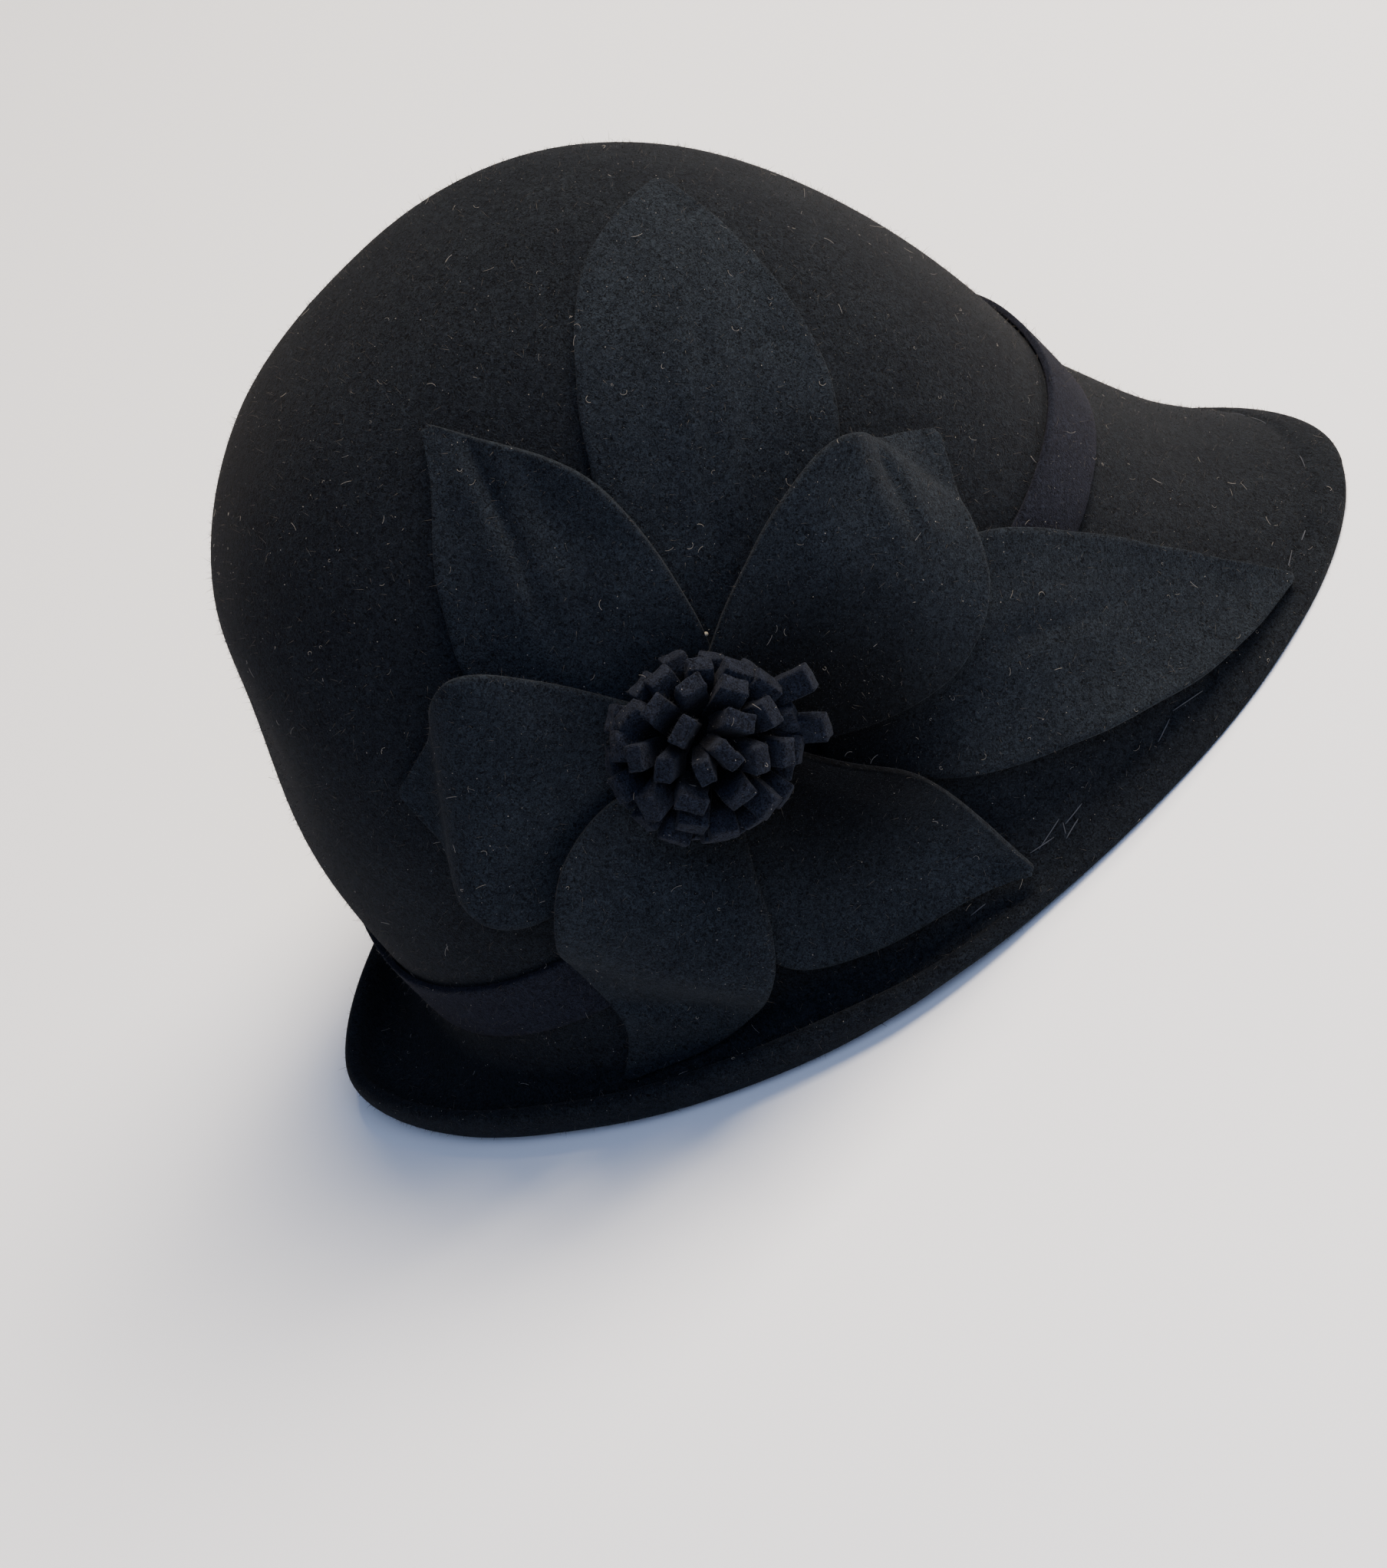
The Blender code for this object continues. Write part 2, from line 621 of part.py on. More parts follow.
def main():
    for item in list(bpy.data.objects):
        bpy.data.objects.remove(item, do_unlink=True)
    parts = bpy.data.collections.new("cloche_hat")
    joined_forms = bpy.data.collections.new("joined_forms")
    bpy.context.scene.collection.children.link(parts)
    bpy.context.scene.collection.children.link(joined_forms)
    felts = {name: felt_material(name) for name in FELTS}

    body = hat_object("crown_brim", felt_body(), felts["body_felt"], parts)
    band = hat_object("hat_band", felt_band(), felts["band_felt"], parts)
    hat_trees = [tree_of(body)]
    plane = FlowerPlane(FLOWER_FACES_UP)
    petals = []
    laid_trees = [tree_of(band)]
    for name, direction, reach, sections in PETALS:
        shape = felt_petal(plane, direction, reach, sections, hat_trees, laid_trees)
        petal = hat_object(name, shape, felts["petal_felt"], parts)
        petals.append(petal)
        laid_trees.append(tree_of(petal))
    centre = tufted_middle(hat_trees, laid_trees, felts["tuft_felt"], parts, joined_forms)

    placed = [body, band, centre, *petals]
    everything = placed + list(joined_forms.objects)
    shift_all(everything, -box_middle(everything))
    holder = bpy.data.objects.new("hat", None)
    parts.objects.link(holder)
    for item in placed:
        item.parent = holder


main()
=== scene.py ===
"""Looks of the black felt cloche hat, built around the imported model.

The hat faces -Y, +Z is up, and the flower is on the wearer's right at -X. Lengths are in
metres. Each felt piece starts from a copy of the solid it stands for, which is rounded, creased
and napped, so it stays where the solid is. Only the flower's tufted middle is built afresh, round
the same dome.
"""
import json
import logging
import math
import random
from dataclasses import dataclass, field
from enum import Enum
from typing import Callable, Sequence

import bmesh
import bpy
import numpy as np
from mathutils import Matrix, Vector, noise
from mathutils.bvhtree import BVHTree

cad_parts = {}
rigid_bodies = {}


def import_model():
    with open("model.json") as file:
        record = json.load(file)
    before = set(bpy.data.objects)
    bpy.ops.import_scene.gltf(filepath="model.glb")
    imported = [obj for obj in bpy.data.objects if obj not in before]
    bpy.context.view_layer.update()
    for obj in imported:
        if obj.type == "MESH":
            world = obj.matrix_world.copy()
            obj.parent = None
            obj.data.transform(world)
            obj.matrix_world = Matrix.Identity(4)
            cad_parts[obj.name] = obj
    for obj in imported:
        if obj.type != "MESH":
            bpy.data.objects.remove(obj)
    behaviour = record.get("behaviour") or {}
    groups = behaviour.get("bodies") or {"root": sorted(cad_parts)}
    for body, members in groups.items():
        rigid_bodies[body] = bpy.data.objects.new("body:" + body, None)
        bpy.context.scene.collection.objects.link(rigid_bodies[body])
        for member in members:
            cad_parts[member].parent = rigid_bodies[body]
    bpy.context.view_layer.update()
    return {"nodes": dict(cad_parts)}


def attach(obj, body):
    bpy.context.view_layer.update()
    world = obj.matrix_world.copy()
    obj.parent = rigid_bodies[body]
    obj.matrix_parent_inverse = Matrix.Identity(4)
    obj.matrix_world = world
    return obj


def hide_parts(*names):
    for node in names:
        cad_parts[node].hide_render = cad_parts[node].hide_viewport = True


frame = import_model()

log = logging.getLogger("cloche_hat")

MM = 0.001
BODY = "root"

# Vertices nearer than this are one vertex, on a CAD node and on a small repeated form.
MERGE = 0.00001
MERGE_SMALL = 0.0000001

# In degrees: triangles under the first two are joined, and edges over the third are kept sharp.
JOIN_FLATNESS = 50.0
JOIN_SHAPE = 70.0
SHARP_EDGE = 55.0

# Without a seed of its own, Blender's noise takes its offsets from the clock.
NOISE_SEED = 4

# Split faces come in an order that varies, so their vertices are put in order along this.
ORDER_ALONG = Vector((1.0, 0.713, 0.377))

# The flower lies in a plane that faces outward and up from the side of the crown.
FLOWER_AT = Vector((-0.0768, 0.0270, 0.0740))
FLOWER_FACES_UP = 30.0
MIDDLE_FACES_UP = 12.0

# Lowest place between the petals in front of the flower's middle, where the petals' painted shade is
# darkest, and the point that all the cut ends of its tufts lie about 22 mm from, round which the tufts get
# painted shade below their ends.
PETAL_SHADE_CENTRE = Vector((-0.0925, 0.0070, 0.0670))
TUFT_CORE = Vector((-0.0829, 0.0267, 0.0829))

# A point under the hat from which every outer face looks away and every inner one does not.
UNDER_HAT = Vector((0.004, 0.010, -0.200))


class Felt(Enum):
    """The record's felt slots, one for each kind of felt on the hat."""

    BODY = "body_felt"
    BAND = "band_felt"
    PETAL = "petal_felt"
    TUFT = "tuft_felt"


def linear(hex_colour: str) -> tuple[float, float, float, float]:
    """Turns an sRGB hex colour to linear light.

    Args:
        hex_colour: Six hex digits, such as "1A1918".

    Returns:
        Red, green, blue and an alpha of 1.
    """
    parts = [int(hex_colour[start:start + 2], 16) / 255 for start in (0, 2, 4)]
    red, green, blue = [((c + 0.055) / 1.055) ** 2.4 if c > 0.04045 else c / 12.92 for c in parts]
    return red, green, blue, 1.0


def add_node(
    tree: bpy.types.NodeTree,
    kind: str,
    settings: dict[str | int, object] | None = None,
    links: dict[str | int, bpy.types.NodeSocket] | None = None,
) -> bpy.types.Node:
    """Adds a shader node with its settings and its links.

    Args:
        tree: The node tree that gets the node.
        kind: The node's type, such as "ShaderNodeBump".
        settings: Values by property name, or by an input's name or number.
        links: Output sockets by the input they go to.

    Returns:
        The new node.
    """
    node = tree.nodes.new(kind)
    for name, value in (settings or {}).items():
        if isinstance(name, int) or name in node.inputs:
            node.inputs[name].default_value = value
        else:
            setattr(node, name, value)
    for name, socket in (links or {}).items():
        tree.links.new(socket, node.inputs[name])
    return node


def noise_texture(
    tree: bpy.types.NodeTree, place: bpy.types.NodeSocket, size: float, settings: dict[str, float],
) -> bpy.types.NodeSocket:
    """Adds a noise texture.

    Args:
        tree: The node tree that gets the node.
        place: The coordinates it follows.
        size: About how wide its patches are.
        settings: The rest of its settings by an input's name.

    Returns:
        The noise, 0 to 1.
    """
    settings = {"Scale": 1 / size, **settings}
    return add_node(tree, "ShaderNodeTexNoise", settings, {"Vector": place}).outputs["Fac"]


def blended(
    tree: bpy.types.NodeTree, dark: str, light: str, share: bpy.types.NodeSocket,
) -> bpy.types.NodeSocket:
    """Blends two sRGB hex colours by a share from 0 to 1."""
    colours = {"data_type": "RGBA", 6: linear(dark), 7: linear(light)}
    return add_node(tree, "ShaderNodeMix", colours, {0: share}).outputs[2]


def plain_material(name: str) -> tuple[bpy.types.Material, bpy.types.NodeTree, bpy.types.Node]:
    """Makes a material that holds only its shader and output.

    Args:
        name: The material's name.

    Returns:
        The material, its node tree and its Principled shader.
    """
    material = bpy.data.materials.new(name)
    material.use_nodes = True
    tree = material.node_tree
    return material, tree, tree.nodes["Principled BSDF"]


@dataclass(frozen=True)
class FeltFinish:
    """Blocked wool felt: matted fibres give a soft, uneven black with a faint pale bloom, and where a point
    is given, painted shade darkens it round that point.
    """

    name: str
    dark: str
    light: str
    mottle: float = 16 * MM
    clump: float = 2.6 * MM
    fibre: float = 0.7 * MM
    clump_depth: float = 0.25 * MM
    fibre_depth: float = 0.35 * MM
    grain: float = 0.75
    # The part of the noise that the two colours, and the grain, are spread over.
    mottle_share: float = 0.55
    colour_range: tuple[float, float] = (0.30, 1.25)
    grain_range: tuple[float, float] = (0.36, 0.64)
    roughness: float = 0.95
    sheen: float = 0.05
    sheen_tint: str = "B4B0AC"
    # Painted shade, darker towards one point, standing in for the shade deep in the flower: where, how far
    # and how much.
    painted_shade_at: Vector | None = None
    painted_shade_near: float = 14 * MM
    painted_shade_far: float = 50 * MM
    painted_shade_share: float = 0.18

    def material(self) -> bpy.types.Material:
        """Builds the felt's nodes.

        Returns:
            The felt material.
        """
        material, tree, shader = plain_material(self.name)
        place = add_node(tree, "ShaderNodeTexCoord").outputs["Object"]
        mottle = noise_texture(tree, place, self.mottle, {"Detail": 3.0, "Roughness": 0.6})
        clump = noise_texture(
            tree, place, self.clump, {"Detail": 3.0, "Roughness": 0.65, "Distortion": 0.8},
        )
        fibre = noise_texture(
            tree, place, self.fibre, {"Detail": 2.0, "Roughness": 0.7, "Distortion": 1.5},
        )
        blend = add_node(
            tree, "ShaderNodeMath",
            {"operation": "MULTIPLY_ADD", 1: self.mottle_share}, {0: mottle, 2: clump},
        )
        share = add_node(
            tree, "ShaderNodeMapRange",
            {"From Min": self.colour_range[0], "From Max": self.colour_range[1]},
            {"Value": blend.outputs[0]},
        ).outputs["Result"]
        matted = blended(tree, self.dark, self.light, share)
        grain = add_node(
            tree, "ShaderNodeMapRange",
            {
                "From Min": self.grain_range[0], "From Max": self.grain_range[1],
                "To Min": 1.0 - self.grain, "To Max": 1.0 + self.grain,
            },
            {"Value": fibre},
        ).outputs["Result"]
        # Painted shade: the felt's colour is cut down near the point and fades back to full by the far
        # distance.
        if self.painted_shade_at is not None:
            away = add_node(
                tree, "ShaderNodeVectorMath", {"operation": "DISTANCE", 1: self.painted_shade_at}, {0: place},
            ).outputs["Value"]
            shade_factor = add_node(
                tree, "ShaderNodeMapRange",
                {
                    "From Min": self.painted_shade_near, "From Max": self.painted_shade_far, "To Min": self.painted_shade_share,
                    "interpolation_type": "SMOOTHSTEP",
                },
                {"Value": away},
            ).outputs["Result"]
            # From here on the grain carries the painted shade as well.
            grain = add_node(
                tree, "ShaderNodeMath", {"operation": "MULTIPLY"}, {0: grain, 1: shade_factor},
            ).outputs[0]
        colour = add_node(
            tree, "ShaderNodeMix",
            {"data_type": "RGBA", "blend_type": "MULTIPLY", 0: 1.0}, {6: matted, 7: grain},
        ).outputs[2]
        coarse = add_node(
            tree, "ShaderNodeBump", {"Strength": 0.8, "Distance": self.clump_depth}, {"Height": clump},
        ).outputs["Normal"]
        fine = add_node(
            tree, "ShaderNodeBump", {"Strength": 0.9, "Distance": self.fibre_depth},
            {"Height": fibre, "Normal": coarse},
        ).outputs["Normal"]
        tree.links.new(colour, shader.inputs["Base Color"])
        tree.links.new(fine, shader.inputs["Normal"])
        shader.inputs["Roughness"].default_value = self.roughness
        shader.inputs["Specular IOR Level"].default_value = 0.05
        shader.inputs["Sheen Weight"].default_value = self.sheen
        shader.inputs["Sheen Roughness"].default_value = 0.45
        shader.inputs["Sheen Tint"].default_value = linear(self.sheen_tint)
        return material


@dataclass(frozen=True)
class FibreFinish:
    """A loose fibre or thread: one dull colour that varies a little along the surface."""

    name: str
    dark: str
    light: str
    patch: float = 5 * MM
    roughness: float = 0.85

    def material(self) -> bpy.types.Material:
        """Builds the fibre's nodes.

        Returns:
            The fibre material.
        """
        material, tree, shader = plain_material(self.name)
        place = add_node(tree, "ShaderNodeTexCoord").outputs["Object"]
        patches = noise_texture(tree, place, self.patch, {"Detail": 2.0})
        colour = blended(tree, self.dark, self.light, patches)
        tree.links.new(colour, shader.inputs["Base Color"])
        shader.inputs["Roughness"].default_value = self.roughness
        shader.inputs["Specular IOR Level"].default_value = 0.2
        return material


BODY_FELT = FeltFinish("blocked_wool_felt", "090C11", "181C20")
BAND_FELT = FeltFinish("band_wool_felt", "0B0D13", "191C24", clump_depth=0.15 * MM, sheen_tint="A8A4B8")
# The petal felt carries painted shade that darkens it towards the place in front of the flower's middle.
PETAL_FELT = FeltFinish("cut_wool_felt", "0D1116", "1E2328", sheen_tint="A8ACB4", painted_shade_at=PETAL_SHADE_CENTRE)
# The tuft felt carries painted shade: it is much darker below the tufts' cut ends, down between the tufts.
TUFT_FELT = FeltFinish(
    "slashed_wool_felt", "0B0E15", "1C2029", mottle=8 * MM, sheen_tint="A0A4B0",
    painted_shade_at=TUFT_CORE, painted_shade_near=17 * MM, painted_shade_far=21.5 * MM, painted_shade_share=0.08,
)
BODY_NAP = FibreFinish("wool_nap", "121416", "28292B")
PETAL_NAP = FibreFinish("petal_wool_nap", "14161A", "2E3136")
STRAY_HAIR = FibreFinish("stray_wool_hair", "2C2A28", "5A5650", patch=2 * MM)
LINT_FIBRE = FibreFinish("pale_lint", "4E4C48", "96928A")
SEWING_THREAD = FibreFinish("sewing_thread", "2A2C31", "484C52")
GLUE_BEAD = FibreFinish("dried_glue", "5E5A4E", "8A8474", patch=1 * MM, roughness=0.4)


def new_object(name: str, mesh: bpy.types.Mesh, material: bpy.types.Material) -> bpy.types.Object:
    """Puts a mesh in the scene with its material.

    Args:
        name: The object's name.
        mesh: The mesh, in place.
        material: The material for all its faces.

    Returns:
        The new object.
    """
    mesh.materials.clear()
    mesh.materials.append(material)
    mesh.shade_smooth()
    item = bpy.data.objects.new(name, mesh)
    bpy.context.scene.collection.objects.link(item)
    return item


class HatPiece:
    """A piece of the hat, which a subclass names and builds."""

    name: str
    slot: Felt

    @property
    def stands_for(self) -> str | None:
        """The CAD node that the piece replaces, if any."""
        return None

    def dress(self, material: bpy.types.Material) -> bpy.types.Object:
        """Builds the piece and puts it in the scene.

        Args:
            material: The material for all its faces.

        Returns:
            The finished object.
        """
        item = new_object(self.name, self.build(), material)
        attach(item, BODY)
        if self.stands_for is not None:
            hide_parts(self.stands_for)
        return item


class NodePiece(HatPiece):
    """A piece that stands for one CAD node and is named after it."""

    node: str

    @property
    def name(self) -> str:
        """The piece's name."""
        return f"{self.node}_felt"

    @property
    def stands_for(self) -> str | None:
        """The CAD node that the piece replaces."""
        return self.node


def merged_copy(node: str, keep_edge: float) -> bmesh.types.BMesh:
    """Copies a CAD node with its vertices merged and its triangles joined to four sides.

    Args:
        node: The CAD node's name.
        keep_edge: How firmly a sharp edge is kept when the copy is rounded, 0 to 1.

    Returns:
        The copy.
    """
    shape = bmesh.new()
    shape.from_mesh(frame["nodes"][node].data)
    bmesh.ops.remove_doubles(shape, verts=shape.verts, dist=MERGE)
    bmesh.ops.join_triangles(
        shape, faces=shape.faces,
        angle_face_threshold=math.radians(JOIN_FLATNESS), angle_shape_threshold=math.radians(JOIN_SHAPE),
    )
    crease = shape.edges.layers.float.new("crease_edge")
    for edge in shape.edges:
        if len(edge.link_faces) == 2 and edge.calc_face_angle() > math.radians(SHARP_EDGE):
            edge[crease] = keep_edge
    return shape


def rounded(shape: bmesh.types.BMesh, name: str, levels: int) -> bpy.types.Mesh:
    """Rounds a coarse form by subdivision and returns the finished mesh.

    Args:
        shape: The coarse form, which is freed.
        name: The mesh's name.
        levels: How many times each face is split.

    Returns:
        The rounded mesh.
    """
    coarse = bpy.data.meshes.new(f"{name}_cage")
    shape.to_mesh(coarse)
    shape.free()
    item = bpy.data.objects.new(f"{name}_cage", coarse)
    bpy.context.scene.collection.objects.link(item)
    rounding = item.modifiers.new("round", "SUBSURF")
    rounding.levels = levels
    rounding.render_levels = levels
    graph = bpy.context.evaluated_depsgraph_get()
    mesh = bpy.data.meshes.new_from_object(item.evaluated_get(graph))
    mesh.name = name
    bpy.data.objects.remove(item)
    bpy.data.meshes.remove(coarse)
    return mesh


def move_vertices(mesh: bpy.types.Mesh, moved: Callable[[Vector, Vector], Vector]) -> None:
    """Moves each vertex of a mesh to where a function puts it.

    Args:
        mesh: The mesh that changes.
        moved: Gives the new place from the old one and the normal there.
    """
    shape = bmesh.new()
    shape.from_mesh(mesh)
    shape.normal_update()
    for vertex in shape.verts:
        vertex.co = moved(vertex.co.copy(), vertex.normal.copy())
    shape.to_mesh(mesh)
    shape.free()


def bell(distance: float, width: float) -> float:
    """Soft bump that is 1 at no distance and fades over a width."""
    return math.exp(-((distance / width) ** 2))


@dataclass(frozen=True)
class Motif:
    """One small closed form, in three-sided faces, that a joined mesh repeats many times."""

    places: np.ndarray
    faces: np.ndarray

    @staticmethod
    def taken_from(shape: bmesh.types.BMesh) -> "Motif":
        """Reads a motif from a finished form.

        Args:
            shape: The form, which is freed.

        Returns:
            The motif.
        """
        bmesh.ops.remove_doubles(shape, verts=shape.verts, dist=MERGE_SMALL)
        bmesh.ops.recalc_face_normals(shape, faces=shape.faces)
        bmesh.ops.triangulate(shape, faces=shape.faces)
        shape.verts.index_update()
        places = np.array([vertex.co[:] for vertex in shape.verts])
        faces = np.array([[vertex.index for vertex in face.verts] for face in shape.faces])
        shape.free()
        return Motif(places, faces)

    def repeated(self, at: np.ndarray, axes: np.ndarray) -> tuple[np.ndarray, np.ndarray]:
        """Places a copy of the motif at each point.

        Args:
            at: Where each copy's origin goes.
            axes: For each copy, where its X, Y and Z axes point, with its scale.

        Returns:
            The vertices and the faces of all the copies.
        """
        vertices = at[:, None] + np.einsum("vk,nkc->nvc", self.places, axes)
        corners = self.faces[None] + (np.arange(len(at)) * len(self.places))[:, None, None]
        return vertices.reshape(-1, 3), corners.reshape(-1, 3)


def joined_mesh(name: str, groups: Sequence[tuple[np.ndarray, np.ndarray]]) -> bpy.types.Mesh:
    """Joins groups of small forms in one mesh.

    Args:
        name: The mesh's name.
        groups: The vertices and faces of each group.

    Returns:
        The mesh.
    """
    vertices = []
    corners = []
    for places, faces in groups:
        corners.append(faces + sum(len(group) for group in vertices))
        vertices.append(places)
    mesh = bpy.data.meshes.new(name)
    mesh.from_pydata(np.concatenate(vertices).tolist(), [], np.concatenate(corners).tolist())
    return mesh


@dataclass
class Scatter:
    """Places spread evenly over felt, more on the faces that look out than on the others."""

    hosts: Sequence[bpy.types.Object]
    seed: int
    inner_share: float = 0.15

    def places(self, count: int) -> tuple[np.ndarray, np.ndarray]:
        """Picks places on the hosts.

        Args:
            count: How many.

        Returns:
            Each place, and the felt's normal there.
        """
        chance = np.random.default_rng(self.seed)
        corners = []
        for host in self.hosts:
            mesh = host.data
            mesh.calc_loop_triangles()
            points = np.empty(len(mesh.vertices) * 3)
            mesh.vertices.foreach_get("co", points)
            index = np.empty(len(mesh.loop_triangles) * 3, np.int64)
            mesh.loop_triangles.foreach_get("vertices", index)
            corners.append(points.reshape(-1, 3)[index].reshape(-1, 3, 3))
        triangles = np.concatenate(corners)
        crossed = np.cross(triangles[:, 1] - triangles[:, 0], triangles[:, 2] - triangles[:, 0])
        area = np.linalg.norm(crossed, axis=1)
        outward = np.einsum("nk,nk->n", crossed, triangles[:, 0] - np.array(UNDER_HAT)) > 0
        weight = area * np.where(outward, 1.0, self.inner_share)
        chosen = chance.choice(len(triangles), count, p=weight / weight.sum())
        first = np.sqrt(chance.random(count))[:, None]
        second = chance.random(count)[:, None]
        picked = triangles[chosen]
        start = (
            picked[:, 0] * (1 - first) + picked[:, 1] * first * (1 - second) + picked[:, 2] * first * second
        )
        return start, crossed[chosen] / area[chosen][:, None]


def unit(vectors: np.ndarray) -> np.ndarray:
    """Gives each row of an array a length of 1."""
    return vectors / np.linalg.norm(vectors, axis=1)[:, None]


@dataclass(frozen=True)
class Fold:
    """A soft fold in a petal: a valley along a line, with a low swell on each side of it."""

    start: tuple[float, float]
    end: tuple[float, float]
    rise: float
    reach: float
    # The fold fades out over this share of its length beyond each end.
    overrun: float = 0.2

    def lift(self, across: float, up: float) -> float:
        """How far the felt stands out at one place of the flower's plane.

        Args:
            across: Distance ahead in the plane.
            up: Distance up the plane's slope.

        Returns:
            The lift, 0 on the line and far from it.
        """
        along = Vector(self.end) - Vector(self.start)
        offset = Vector((across, up)) - Vector(self.start)
        share = offset.dot(along) / along.length_squared
        distance = abs(offset.cross(along)) / along.length / self.reach
        part = (share + self.overrun) / (1 + 2 * self.overrun)
        window = math.sin(math.pi * min(1.0, max(0.0, part)))
        return self.rise * window * distance * math.exp(0.5 - 0.5 * distance * distance)


@dataclass(frozen=True)
class FlowerPlane:
    """Plane at the flower: across points ahead, rise points up the slope, out points away."""

    faces_up: float

    @property
    def across(self) -> Vector:
        """Direction towards the hat's front."""
        return Vector((0.0, -1.0, 0.0))

    @property
    def rise(self) -> Vector:
        """Direction up the slope."""
        lean = math.radians(self.faces_up)
        return Vector((math.sin(lean), 0.0, math.cos(lean)))

    @property
    def out(self) -> Vector:
        """Direction away from the hat."""
        lean = math.radians(self.faces_up)
        return Vector((-math.cos(lean), 0.0, math.sin(lean)))

    def point(self, across: float, rise: float, height: float) -> Vector:
        """World point from plane coordinates and a height above the plane."""
        return FLOWER_AT + self.across * across + self.rise * rise + self.out * height

    def coordinates(self, place: Vector) -> tuple[float, float, float]:
        """Plane coordinates and height of a world point."""
        offset = place - FLOWER_AT
        return offset.dot(self.across), offset.dot(self.rise), offset.dot(self.out)


@dataclass(frozen=True)
class Swell:
    """A place where a petal stands out, as cut felt does when it dries in shape."""

    centre: tuple[float, float]
    reach: float
    rise: float

    def lift(self, across: float, up: float) -> float:
        """How far the felt stands out at one place of the flower's plane."""
        return self.rise * bell((Vector((across, up)) - Vector(self.centre)).length, self.reach)


@dataclass
class SoftPiece(NodePiece):
    """A felt piece that stands for one CAD node, rounded from a copy of it."""

    node: str
    slot: Felt
    levels: int = 2
    keep_edge: float = 0.5
    unevenness: float = 0.3 * MM
    wave: float = 32 * MM

    def shaped(self, place: Vector, _normal: Vector) -> Vector:
        """Uneven felt: every surface wanders a little from its smooth form.

        Args:
            place: A point of the rounded piece.
            _normal: The surface's direction there; not used here.

        Returns:
            Where the point goes.
        """
        drift = noise.noise_vector(place / self.wave)
        return place + drift * self.unevenness

    def build(self) -> bpy.types.Mesh:
        """Rounds a copy of the node and works the felt.

        Returns:
            The finished mesh.
        """
        mesh = rounded(merged_copy(self.node, self.keep_edge), self.name, self.levels)
        move_vertices(mesh, self.shaped)
        return mesh


@dataclass
class BrimEdge:
    """The brim's edge, by direction from the hat's front towards the wearer's left."""

    node: str = "crown_brim"
    middle: Vector = field(default_factory=lambda: Vector((0.0037, 0.0100, 0.0)))
    steps: int = 180
    level: float = 3 * MM

    def __post_init__(self) -> None:
        """Measures how far the edge lies from the middle in each direction."""
        self.radii = [0.0] * self.steps
        for vertex in frame["nodes"][self.node].data.vertices:
            offset = vertex.co - self.middle
            step = round(math.atan2(offset.x, -offset.y) / (2 * math.pi) * self.steps) % self.steps
            for near in (step - 2, step - 1, step, step + 1, step + 2):
                radius = math.hypot(offset.x, offset.y)
                self.radii[near % self.steps] = max(self.radii[near % self.steps], radius)

    def turn(self, place: Vector) -> float:
        """Direction of a point in degrees, 0 in front, from -180 to 180."""
        offset = place - self.middle
        return math.degrees(math.atan2(offset.x, -offset.y))

    def radius(self, degrees: float) -> float:
        """Level distance from the middle to the edge in one direction."""
        turn = degrees / 360 * self.steps
        step = math.floor(turn)
        low = self.radii[step % self.steps]
        return low + (self.radii[(step + 1) % self.steps] - low) * (turn - step)

    def outward(self, degrees: float) -> Vector:
        """Level direction away from the middle."""
        angle = math.radians(degrees)
        return Vector((math.sin(angle), -math.cos(angle), 0.0))

    def distance(self, place: Vector) -> float:
        """How far a point of the brim lies from the edge."""
        degrees = self.turn(place)
        edge = self.middle + self.outward(degrees) * self.radius(degrees) + Vector((0.0, 0.0, self.level))
        return (place - edge).length


@dataclass
class FeltBody(SoftPiece):
    """Crown and brim: the brim's edge is turned under and pressed, which leaves a low hem."""

    hem_width: float = 10 * MM
    hem_rise: float = 0.4 * MM
    groove: float = 0.5 * MM
    groove_width: float = 1.5 * MM
    hem_ends: float = 112.0
    hem_fades: float = 25.0
    step_width: float = 1.5 * MM
    # The hem shows on the faces that point up at least this much, up to this height.
    least_up: float = 0.15
    brim_top: float = 30 * MM
    edge: BrimEdge = field(default_factory=BrimEdge)

    def shaped(self, place: Vector, normal: Vector) -> Vector:
        """Adds the hem to the brim's upper face in front and at the sides."""
        moved = super().shaped(place, normal)
        if normal.z < self.least_up or place.z > self.brim_top:
            return moved
        part = min(1.0, max(0.0, (self.hem_ends - abs(self.edge.turn(place))) / self.hem_fades))
        distance = self.edge.distance(place)
        step = min(1.0, max(0.0, (self.hem_width - distance) / self.step_width))
        height = self.hem_rise * step - self.groove * bell(distance - self.hem_width, self.groove_width)
        return moved + normal * (height * part)


@dataclass
class Petal(SoftPiece):
    """One cut petal, with the soft folds that its own weight and the hand gave it."""

    folds: Sequence[Fold | Swell] = ()
    wave: float = 14 * MM
    unevenness: float = 0.5 * MM

    def shaped(self, place: Vector, normal: Vector) -> Vector:
        """Adds the folds to the uneven felt."""
        plane = FlowerPlane(FLOWER_FACES_UP)
        across, up, _height = plane.coordinates(place)
        lift = sum(fold.lift(across, up) for fold in self.folds)
        return super().shaped(place, normal) + plane.out * lift


